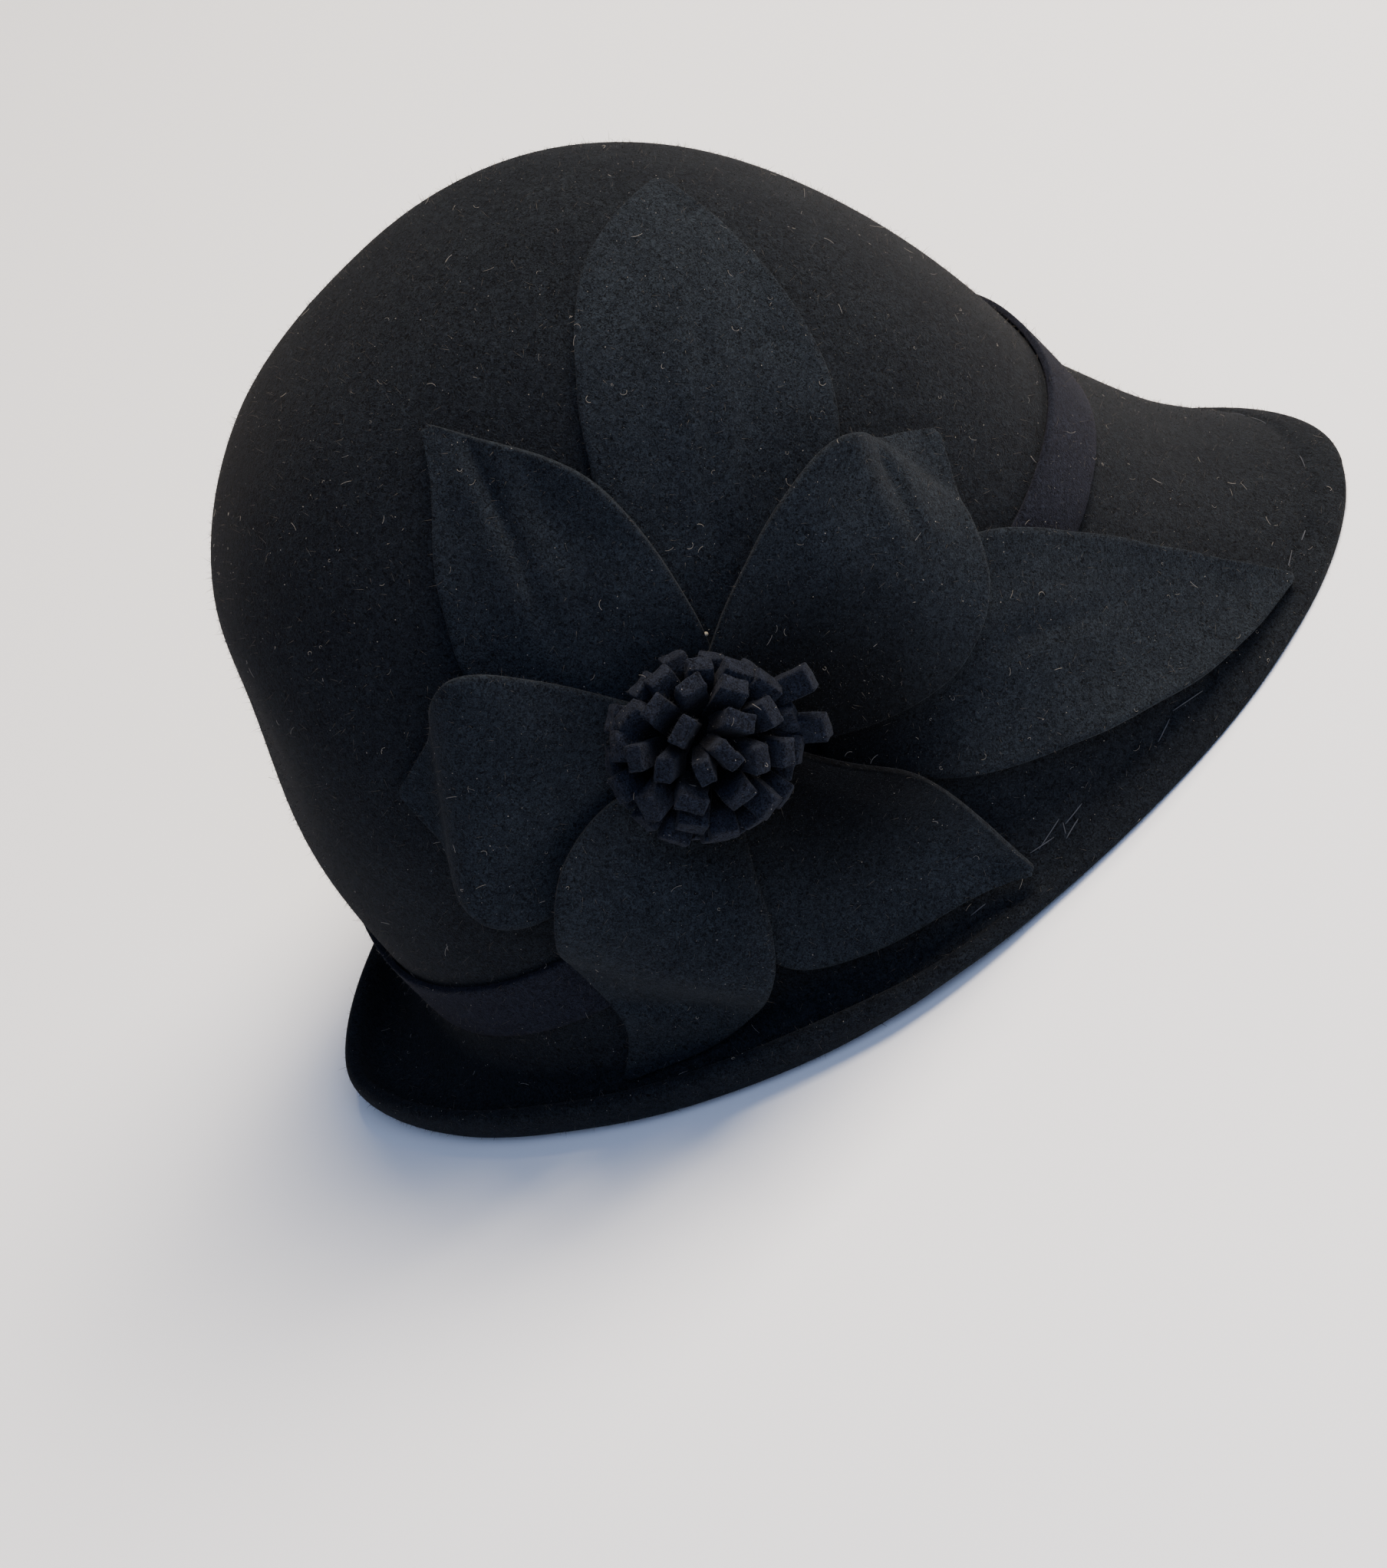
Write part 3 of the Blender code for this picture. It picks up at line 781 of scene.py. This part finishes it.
@dataclass
class TuftedMiddle(NodePiece):
    """Rolled and slashed felt strip: square-cut tufts that stand round a low dome."""

    node: str = "flower_centre"
    slot: Felt = Felt.TUFT
    # Rings of tufts from the middle out: how many, and the ring's place from the pole to the foot.
    rings: Sequence[tuple[int, float]] = ((2, 9.0), (6, 30.0), (10, 53.0), (14, 76.0), (14, 98.0))
    ahead: float = 0.3 * MM
    up: float = 7.5 * MM
    radius: float = 21 * MM
    top_height: float = 19 * MM
    side_height: float = 4 * MM
    tuft_width: float = 6.4 * MM
    tuft_felt: float = 4.1 * MM
    tuft_length: float = 14 * MM
    corner: float = 0.45 * MM
    long_edge: float = 2 * MM
    wobble: float = 0.45 * MM
    wobble_wave: float = 3 * MM
    # A tuft leans by this share of its ring's fall.
    spread: float = 0.85
    # How far the tufts vary: size shares, millimetres of bend, place and height, and degrees.
    felt_shares: tuple[float, float] = (0.88, 1.08)
    width_shares: tuple[float, float] = (0.86, 1.08)
    bend: float = 0.8
    vary_step: float = 0.16
    vary_distance: float = 0.7
    vary_height: float = 0.8
    vary_tilt: float = 7.0
    twist: float = 22.0
    ring_seed: int = 29
    tuft_seed: int = 17
    stem_radius: float = 4.6 * MM
    core_radius: float = 13 * MM
    core_rise: float = 9 * MM
    core_depth: float = 3.5 * MM
    # Two tufts have sprung out in front: direction in degrees, distance and height of the end.
    sprung: Sequence[tuple[float, float, float]] = ((2.0, 28 * MM, 9 * MM), (-24.0, 27 * MM, 8 * MM))
    sprung_tilt: float = 58.0

    def block(self, chance: random.Random) -> bmesh.types.BMesh:
        """One felt tuft that stands along +Z, its cut end up.

        Args:
            chance: The seeded source of random numbers.

        Returns:
            The tuft.
        """
        shape = bmesh.new()
        felt = self.tuft_felt * chance.uniform(*self.felt_shares)
        width = self.tuft_width * chance.uniform(*self.width_shares)
        size = Matrix.Diagonal((felt, width, self.tuft_length, 1.0))
        bmesh.ops.create_cube(shape, size=1.0, matrix=size)
        bmesh.ops.bevel(
            shape, geom=shape.edges[:], offset=self.corner, offset_type="OFFSET", segments=2,
            profile=0.5, affect="EDGES", material=-1,
        )
        long_edges = [edge for edge in shape.edges if edge.calc_length() > self.long_edge]
        bmesh.ops.subdivide_edges(shape, edges=long_edges, cuts=3, use_grid_fill=True)
        offset = Vector((chance.uniform(0, 50), chance.uniform(0, 50), chance.uniform(0, 50)))
        bend = chance.uniform(-self.bend, self.bend) * MM
        for vertex in shape.verts:
            share = vertex.co.z / self.tuft_length + 0.5
            vertex.co += noise.noise_vector(vertex.co / self.wobble_wave + offset) * self.wobble
            vertex.co.x += bend * share * share
        return shape

    def stands(self) -> list[tuple[float, float, float, float]]:
        """Direction, distance from the middle, height and tilt of each tuft's cut end."""
        found = []
        chance = random.Random(self.ring_seed)
        for number, (count, fall) in enumerate(self.rings):
            angle = math.radians(fall)
            height = self.side_height + (self.top_height - self.side_height) * math.cos(angle)
            for index in range(count):
                step = index + 0.5 * (number % 2) + chance.uniform(-self.vary_step, self.vary_step)
                away = chance.uniform(-self.vary_distance, self.vary_distance) * MM
                end = height + chance.uniform(-self.vary_height, self.vary_height) * MM
                tilt = fall * self.spread + chance.uniform(-self.vary_tilt, self.vary_tilt)
                found.append((360 * step / count, self.radius * math.sin(angle) + away, end, tilt))
        for direction, distance, height in self.sprung:
            found.append((direction, distance, height, self.sprung_tilt))
        return found

    def build(self) -> bpy.types.Mesh:
        """Places the dome and its tufts, level with the top of the CAD node.

        Returns:
            The finished mesh.
        """
        plane = FlowerPlane(MIDDLE_FACES_UP)
        foot = plane.point(self.ahead, self.up, 0.0)
        axes = Matrix((plane.across, plane.rise, plane.out)).transposed().to_4x4()
        on_hat = Matrix.Translation(foot) @ axes
        whole = bmesh.new()
        bmesh.ops.create_uvsphere(whole, u_segments=32, v_segments=16, radius=1.0)
        for vertex in whole.verts:
            x, y, z = vertex.co
            level = self.core_rise if z > 0 else self.core_depth
            vertex.co = Vector((x * self.core_radius, y * self.core_radius, z * level))
        bmesh.ops.transform(whole, verts=whole.verts, matrix=on_hat)
        chance = random.Random(self.tuft_seed)
        down = Matrix.Translation((0.0, 0.0, -self.tuft_length / 2))
        for direction, distance, height, tilt in self.stands():
            block = self.block(chance)
            spin = Matrix.Rotation(math.radians(direction), 4, "Z")
            lean = Matrix.Rotation(math.radians(tilt), 4, "Y")
            end = spin @ Matrix.Translation((distance, 0.0, height)) @ lean
            twist = Matrix.Rotation(math.radians(chance.uniform(-self.twist, self.twist)), 4, "Z")
            bmesh.ops.transform(block, verts=block.verts, matrix=on_hat @ end @ down @ twist)
            passing = bpy.data.meshes.new("tuft")
            block.to_mesh(passing)
            block.free()
            whole.from_mesh(passing)
            bpy.data.meshes.remove(passing)
        heights = [plane.coordinates(vertex.co)[2] for vertex in frame["nodes"][self.node].data.vertices]
        own_top = max(plane.coordinates(vertex.co)[2] for vertex in whole.verts)
        core_at = max(heights) - own_top
        bmesh.ops.translate(whole, verts=whole.verts, vec=plane.out * core_at)
        stem_foot = min(heights)
        bmesh.ops.create_cone(
            whole, cap_ends=True, segments=32, radius1=self.stem_radius, radius2=self.stem_radius,
            depth=core_at - stem_foot,
            matrix=Matrix.Translation(plane.out * ((core_at + stem_foot) / 2)) @ on_hat,
        )
        whole.verts.sort(key=lambda vertex: vertex.co.dot(ORDER_ALONG))
        whole.verts.index_update()
        faces = []
        for face in whole.faces:
            corners = [vertex.index for vertex in face.verts]
            first = corners.index(min(corners))
            faces.append(corners[first:] + corners[:first])
        mesh = bpy.data.meshes.new(self.name)
        mesh.from_pydata([vertex.co[:] for vertex in whole.verts], [], sorted(faces))
        whole.free()
        return mesh


@dataclass
class Nap(HatPiece):
    """Short wool ends that stand out of the felt, each a thin closed spike."""

    name: str
    hosts: Sequence[bpy.types.Object]
    slot: Felt
    count: int
    length: float = 1.5 * MM
    width: float = 0.09 * MM
    # The least and greatest lean, in radians from upright.
    lean: tuple[float, float] = (0.1, 1.25)
    shortest: float = 0.3
    root: float = 0.1 * MM
    seed: int = 3

    def spike(self) -> Motif:
        """One fibre along +Z, one unit long and wide."""
        shape = bmesh.new()
        bmesh.ops.create_cone(
            shape, cap_ends=True, cap_tris=False, segments=3, radius1=0.5, radius2=0.0, depth=1.0,
            matrix=Matrix.Translation((0.0, 0.0, 0.5)),
        )
        return Motif.taken_from(shape)

    def build(self) -> bpy.types.Mesh:
        """Makes every fibre from one spike.

        Returns:
            The finished mesh.
        """
        chance = np.random.default_rng(self.seed)
        start, normal = Scatter(self.hosts, self.seed).places(self.count)
        sideways = unit(np.cross(normal, chance.normal(size=(self.count, 3))))
        tilt = chance.uniform(*self.lean, self.count)[:, None]
        along = normal * np.cos(tilt) + sideways * np.sin(tilt)
        first = unit(np.cross(along, normal))
        second = np.cross(along, first)
        longer = (1 - self.shortest) * chance.random(self.count)[:, None] ** 2
        length = self.length * (self.shortest + longer)
        axes = np.stack([first * self.width, second * self.width, along * length], axis=1)
        return joined_mesh(self.name, [self.spike().repeated(start - normal * self.root, axes)])


@dataclass
class Lint(HatPiece):
    """Pale lint that black wool picks up: short curled hairs and tiny specks, lying on the felt."""

    hosts: Sequence[bpy.types.Object]
    name: str = "felt_lint"
    slot: Felt = Felt.BODY
    # The kinds of curled hair: how wide the curl is, and how far it turns in degrees.
    kinds: Sequence[tuple[float, float]] = (
        (0.35 * MM, 280.0), (0.7 * MM, 170.0), (1.2 * MM, 100.0), (2.2 * MM, 60.0), (5.0 * MM, 26.0),
    )
    curls_of_a_kind: int = 124
    specks: int = 4200
    hair: float = 0.045 * MM
    climb: float = 0.04 * MM
    speck: float = 0.20 * MM
    tip: float = 0.35
    curl_lift: float = 0.25 * MM
    speck_lift: float = 0.05 * MM
    curl_sizes: tuple[float, float] = (0.7, 1.2)
    smallest_speck: float = 0.35
    seed: int = 11

    def curl(self, radius: float, turn: float) -> Motif:
        """One curled hair that lies in the XY plane and starts at the origin.

        Args:
            radius: How wide the curl is.
            turn: How far it turns, in degrees.

        Returns:
            The hair.
        """
        shape = bmesh.new()
        made = bmesh.ops.create_circle(
            shape, cap_ends=False, segments=3, radius=self.hair,
            matrix=Matrix.Rotation(math.radians(90), 4, "X"),
        )
        bmesh.ops.spin(
            shape, geom=made["verts"] + shape.edges[:], cent=(radius, 0.0, 0.0), axis=(0.0, 0.0, 1.0),
            dvec=(0.0, 0.0, self.climb), angle=math.radians(turn), steps=6, use_duplicate=False,
        )
        bmesh.ops.holes_fill(shape, edges=[edge for edge in shape.edges if edge.is_boundary], sides=4)
        return Motif.taken_from(shape)

    def build(self) -> bpy.types.Mesh:
        """Strews the hairs and specks.

        Returns:
            The finished mesh.
        """
        chance = np.random.default_rng(self.seed)
        motifs = [self.curl(radius, turn) for radius, turn in self.kinds]
        speck = bmesh.new()
        bmesh.ops.create_uvsphere(speck, u_segments=4, v_segments=2, radius=1.0)
        motifs.append(Motif.taken_from(speck))
        counts = [self.curls_of_a_kind] * len(self.kinds) + [self.specks]
        groups = []
        for number, (motif, count) in enumerate(zip(motifs, counts)):
            start, normal = Scatter(self.hosts, self.seed + number).places(count)
            first = unit(np.cross(normal, chance.normal(size=(count, 3))))
            tipped = unit(normal + self.tip * chance.normal(size=(count, 3)))
            first = unit(first - tipped * np.einsum("nk,nk->n", first, tipped)[:, None])
            second = np.cross(tipped, first)
            axes = np.stack([first, second, tipped], axis=1)
            if number == len(self.kinds):
                larger = (1 - self.smallest_speck) * chance.random((count, 1)) ** 2
                sizes = self.speck * (self.smallest_speck + larger)
                axes = axes * np.stack([sizes, sizes * 0.7, sizes * 0.5], axis=1)
                lift = self.speck_lift
            else:
                axes = axes * chance.uniform(*self.curl_sizes, (count, 1, 1))
                lift = self.curl_lift
            groups.append(motif.repeated(start + normal * lift, axes))
        return joined_mesh(self.name, groups)


@dataclass
class HemStitches(HatPiece):
    """Hand stitches that hold the hem: short dashes of thread, most of them sunk in the felt."""

    body: bpy.types.Object
    name: str = "hem_stitches"
    slot: Felt = Felt.BODY
    edge: BrimEdge = field(default_factory=BrimEdge)
    inset: float = 10 * MM
    spacing: float = 9.5 * MM
    length: float = 7.5 * MM
    thread: float = 0.26 * MM
    ends_at: float = 96.0
    # How far one stitch and the next may vary, and the share of them that shows.
    length_shares: tuple[float, float] = (0.6, 1.1)
    spacing_shares: tuple[float, float] = (0.85, 1.15)
    shown: float = 0.6
    # The place of a stitch is sought inward from near the edge, by rays from above.
    first_reach: float = 1 * MM
    reach_step: float = 0.25 * MM
    above: float = 0.3
    seed: int = 5
    # Loose stitches on the flower's side: start and end seen from above.
    loose: Sequence[tuple[tuple[float, float], tuple[float, float]]] = (
        ((-0.0846, -0.0336), (-0.0867, -0.0285)),
        ((-0.0867, -0.0285), (-0.0838, -0.0304)),
        ((-0.0838, -0.0304), (-0.0861, -0.0220)),
    )

    def dash(self) -> Motif:
        """One stitch along +X, one unit long, that dips into the felt at both ends."""
        shape = bmesh.new()
        bmesh.ops.create_cone(
            shape, cap_ends=True, cap_tris=False, segments=6, radius1=0.5, radius2=0.5, depth=1.0,
            matrix=Matrix.Rotation(math.radians(90), 4, "Y"),
        )
        long_edges = [edge for edge in shape.edges if edge.calc_length() > 0.9]
        bmesh.ops.subdivide_edges(shape, edges=long_edges, cuts=5)
        for vertex in shape.verts:
            share = 2 * abs(vertex.co.x)
            vertex.co.y *= 1.0 - 0.3 * share ** 4
            vertex.co.z += 0.35 - 1.1 * share ** 3
        return Motif.taken_from(shape)

    def inset_place(
        self, on_felt: Callable[[float, float], tuple[Vector, Vector]], degrees: float,
    ) -> Vector:
        """Point of the brim's upper face at the stitches' distance from the edge.

        Args:
            on_felt: Gives the place and normal of the upper face, seen from above.
            degrees: Direction from the hat's front.

        Returns:
            The point.
        """
        reach = self.edge.radius(degrees) - self.first_reach
        place, _normal = on_felt(*(self.edge.middle + self.edge.outward(degrees) * reach).xy)
        while place is None or self.edge.distance(place) < self.inset:
            reach -= self.reach_step
            place, _normal = on_felt(*(self.edge.middle + self.edge.outward(degrees) * reach).xy)
        return place

    def build(self) -> bpy.types.Mesh:
        """Lays the stitches on the brim.

        Returns:
            The finished mesh.
        """
        chance = random.Random(self.seed)
        down = Vector((0.0, 0.0, -1.0))
        shape = bmesh.new()
        shape.from_mesh(self.body.data)
        felt = BVHTree.FromBMesh(shape)
        shape.free()

        def on_felt(x: float, y: float) -> tuple[Vector, Vector]:
            """Place and normal of the brim's upper face, seen from above."""
            place, normal, _index, _distance = felt.ray_cast(Vector((x, y, self.above)), down)
            return place, normal

        pairs = list(self.loose)
        turn = -self.ends_at
        while turn < self.ends_at:
            place = self.inset_place(on_felt, turn)
            radius = (place - self.edge.middle).length
            stitch = math.degrees(self.length * chance.uniform(*self.length_shares) / radius)
            after = self.inset_place(on_felt, turn + stitch)
            if chance.random() < self.shown:
                pairs.append(((place.x, place.y), (after.x, after.y)))
            turn += math.degrees(self.spacing * chance.uniform(*self.spacing_shares) / radius)
        at = []
        axes = []
        for (start_x, start_y), (end_x, end_y) in pairs:
            start, _normal = on_felt(start_x, start_y)
            end, _normal = on_felt(end_x, end_y)
            middle, normal = on_felt((start_x + end_x) / 2, (start_y + end_y) / 2)
            if (end - start).length > 2 * self.length:
                continue
            along = end - start
            side = normal.cross(along).normalized()
            up = along.cross(side).normalized()
            at.append(middle)
            axes.append((along, side * self.thread, up * self.thread))
        group = self.dash().repeated(np.array([place[:] for place in at]), np.array(axes))
        return joined_mesh(self.name, [group])


@dataclass
class GlueBead(HatPiece):
    """Small pale bead of dried glue where the two upper petals meet."""

    felt: bpy.types.Object
    name: str = "glue_bead"
    slot: Felt = Felt.PETAL
    near: Vector = field(default_factory=lambda: Vector((-0.0778, 0.0119, 0.1000)))
    radius: float = 0.55 * MM
    raised: float = 0.3
    uneven: float = 0.25
    waves: float = 900.0

    def build(self) -> bpy.types.Mesh:
        """Sets the bead on the petal's edge.

        Returns:
            The finished mesh.
        """
        shape = bmesh.new()
        shape.from_mesh(self.felt.data)
        place, normal, _index, _distance = BVHTree.FromBMesh(shape).find_nearest(self.near)
        shape.clear()
        bmesh.ops.create_icosphere(shape, subdivisions=3, radius=self.radius)
        centre = place + normal * (self.raised * self.radius)
        for vertex in shape.verts:
            vertex.co = centre + vertex.co * (1.0 + self.uneven * noise.noise(vertex.co * self.waves))
        mesh = bpy.data.meshes.new(self.name)
        shape.to_mesh(mesh)
        shape.free()
        return mesh


@dataclass(frozen=True)
class SoftLight:
    """A soft light: where it hangs, the side of its square face, its power and its sRGB colour."""

    name: str
    at: tuple[float, float, float]
    side: float
    watts: float
    colour: str


@dataclass
class Studio:
    """Pale floor, soft lights and the camera at the photograph's angle."""

    azimuth: float = -90.48
    elevation: float = 30.60
    roll: float = 34.83
    distance: float = 1.2522
    lens: float = 121.4
    sensor: float = 36.0
    clip: tuple[float, float] = (0.05, 50.0)
    looks_at: Vector = field(default_factory=lambda: Vector((0.0037, 0.0320, 0.0228)))
    floor_side: float = 8.0
    floor_colour: str = "F2F8FF"
    sky_colour: str = "D6E2FF"
    sky_strength: float = 0.14
    lights: Sequence[SoftLight] = (
        SoftLight("key", (0.14, -1.15, 1.85), 1.3, 140.0, "FFEDD8"),
        SoftLight("fill", (-1.6, 0.0, 1.35), 1.4, 27.0, "C2D4FF"),
    )

    def camera(self) -> None:
        """Places the camera at the photograph's angle."""
        azimuth, elevation, roll = (math.radians(v) for v in (self.azimuth, self.elevation, self.roll))
        level_reach = math.cos(elevation)
        back = Vector((
            math.sin(azimuth) * level_reach, -math.cos(azimuth) * level_reach, math.sin(elevation),
        ))
        level = (-back).cross(Vector((0.0, 0.0, 1.0))).normalized()
        upright = level.cross(-back)
        right = level * math.cos(roll) - upright * math.sin(roll)
        up = level * math.sin(roll) + upright * math.cos(roll)
        data = bpy.data.cameras.new("camera")
        data.lens = self.lens
        data.sensor_width = self.sensor
        data.clip_start, data.clip_end = self.clip
        item = bpy.data.objects.new("camera", data)
        bpy.context.scene.collection.objects.link(item)
        turned = Matrix((right, up, back)).transposed().to_4x4()
        item.matrix_world = Matrix.Translation(self.looks_at + back * self.distance) @ turned
        bpy.context.scene.camera = item

    def floor(self) -> None:
        """Makes the plain pale floor."""
        shape = bmesh.new()
        bmesh.ops.create_grid(shape, x_segments=1, y_segments=1, size=self.floor_side / 2)
        mesh = bpy.data.meshes.new("floor")
        shape.to_mesh(mesh)
        shape.free()
        material, _tree, shader = plain_material("pale_paper")
        shader.inputs["Base Color"].default_value = linear(self.floor_colour)
        shader.inputs["Roughness"].default_value = 0.9
        item = new_object("floor", mesh, material)

    def hang(self, light: SoftLight) -> None:
        """Adds one soft light that points at the hat.

        Args:
            light: The light.
        """
        data = bpy.data.lights.new(light.name, "AREA")
        data.shape = "SQUARE"
        data.size = light.side
        data.energy = light.watts
        data.color = linear(light.colour)[:3]
        item = bpy.data.objects.new(light.name, data)
        bpy.context.scene.collection.objects.link(item)
        item.location = light.at
        item.rotation_euler = (self.looks_at - Vector(light.at)).to_track_quat("-Z", "Y").to_euler()

    def build(self) -> None:
        """Makes the whole studio."""
        self.camera()
        self.floor()
        for light in self.lights:
            self.hang(light)
        world = bpy.data.worlds.new("studio")
        world.use_nodes = True
        background = world.node_tree.nodes["Background"]
        background.inputs["Color"].default_value = linear(self.sky_colour)
        background.inputs["Strength"].default_value = self.sky_strength
        bpy.context.scene.world = world


# Folds and swells by petal, in the flower's plane: where, how wide and how high.
PETAL_FOLDS = {
    "petal_upper_left": (
        Fold((-2 * MM, 90 * MM), (-11 * MM, 46 * MM), 2.4 * MM, 4 * MM),
        Swell((-2 * MM, 42 * MM), 20 * MM, 3.5 * MM),
    ),
    "petal_top": (
        Fold((60 * MM, 90 * MM), (25 * MM, 32 * MM), 1.5 * MM, 3.5 * MM),
        Swell((40 * MM, 72 * MM), 24 * MM, 2.5 * MM),
    ),
    "petal_upper_right": (
        Fold((70 * MM, 38 * MM), (65 * MM, 13 * MM), 2.4 * MM, 3.5 * MM),
        Swell((50 * MM, 15 * MM), 20 * MM, 5.0 * MM),
    ),
    "petal_right": (
        Fold((60 * MM, -14 * MM), (92 * MM, -24 * MM), 1.5 * MM, 5 * MM),
        Swell((76 * MM, -36 * MM), 18 * MM, 2.0 * MM),
    ),
    "petal_lower_right": (Swell((26 * MM, -34 * MM), 18 * MM, 3.0 * MM),),
    "petal_bottom": (Fold((-56 * MM, -27 * MM), (-20 * MM, -54 * MM), 1.8 * MM, 4 * MM),),
    "petal_left": (Swell((-38 * MM, 14 * MM), 15 * MM, 1.5 * MM),),
}


def main() -> None:
    """Builds the hat's pieces in order and the studio round them."""
    noise.seed_set(NOISE_SEED)
    felts = {
        Felt.BODY: BODY_FELT.material(),
        Felt.BAND: BAND_FELT.material(),
        Felt.PETAL: PETAL_FELT.material(),
        Felt.TUFT: TUFT_FELT.material(),
    }
    body = FeltBody("crown_brim", Felt.BODY).dress(felts[Felt.BODY])
    log.info("felt body: %d faces", len(body.data.polygons))
    band = SoftPiece("hat_band", Felt.BAND).dress(felts[Felt.BAND])
    log.info("band: %d faces", len(band.data.polygons))
    petals = []
    for node in sorted(name for name in frame["nodes"] if name.startswith("petal_")):
        petal = Petal(node, Felt.PETAL, folds=PETAL_FOLDS[node]).dress(felts[Felt.PETAL])
        log.info("%s: %d faces", node, len(petal.data.polygons))
        petals.append(petal)
    middle = TuftedMiddle().dress(felts[Felt.TUFT])
    log.info("flower middle: %d faces", len(middle.data.polygons))

    stitches = HemStitches(body).dress(SEWING_THREAD.material())
    log.info("hem stitches: %d faces", len(stitches.data.polygons))
    upper_left = next(petal for petal in petals if petal.name.startswith("petal_upper_left"))
    bead = GlueBead(upper_left).dress(GLUE_BEAD.material())
    log.info("glue bead: %d faces", len(bead.data.polygons))
    lint = Lint([body, band, middle, *petals]).dress(LINT_FIBRE.material())
    log.info("lint: %d faces", len(lint.data.polygons))

    nap = BODY_NAP.material()
    petal_nap = PETAL_NAP.material()
    Nap("body_nap", [body], Felt.BODY, 48000).dress(nap)
    Nap("band_nap", [band], Felt.BAND, 6000, length=1.1 * MM).dress(petal_nap)
    Nap("petal_nap", petals, Felt.PETAL, 42000, length=1.2 * MM).dress(petal_nap)
    Nap("tuft_nap", [middle], Felt.TUFT, 14000, length=1.1 * MM).dress(petal_nap)
    felt_pieces = [body, band, *petals]
    hairs = Nap("stray_hairs", felt_pieces, Felt.BODY, 9000, length=3.2 * MM, width=0.11 * MM, seed=8)
    hairs.dress(STRAY_HAIR.material())
    log.info("nap and stray hairs: five meshes")
    Studio().build()


if __name__ == "__main__":
    logging.basicConfig(level=logging.INFO, format="%(message)s")
    main()
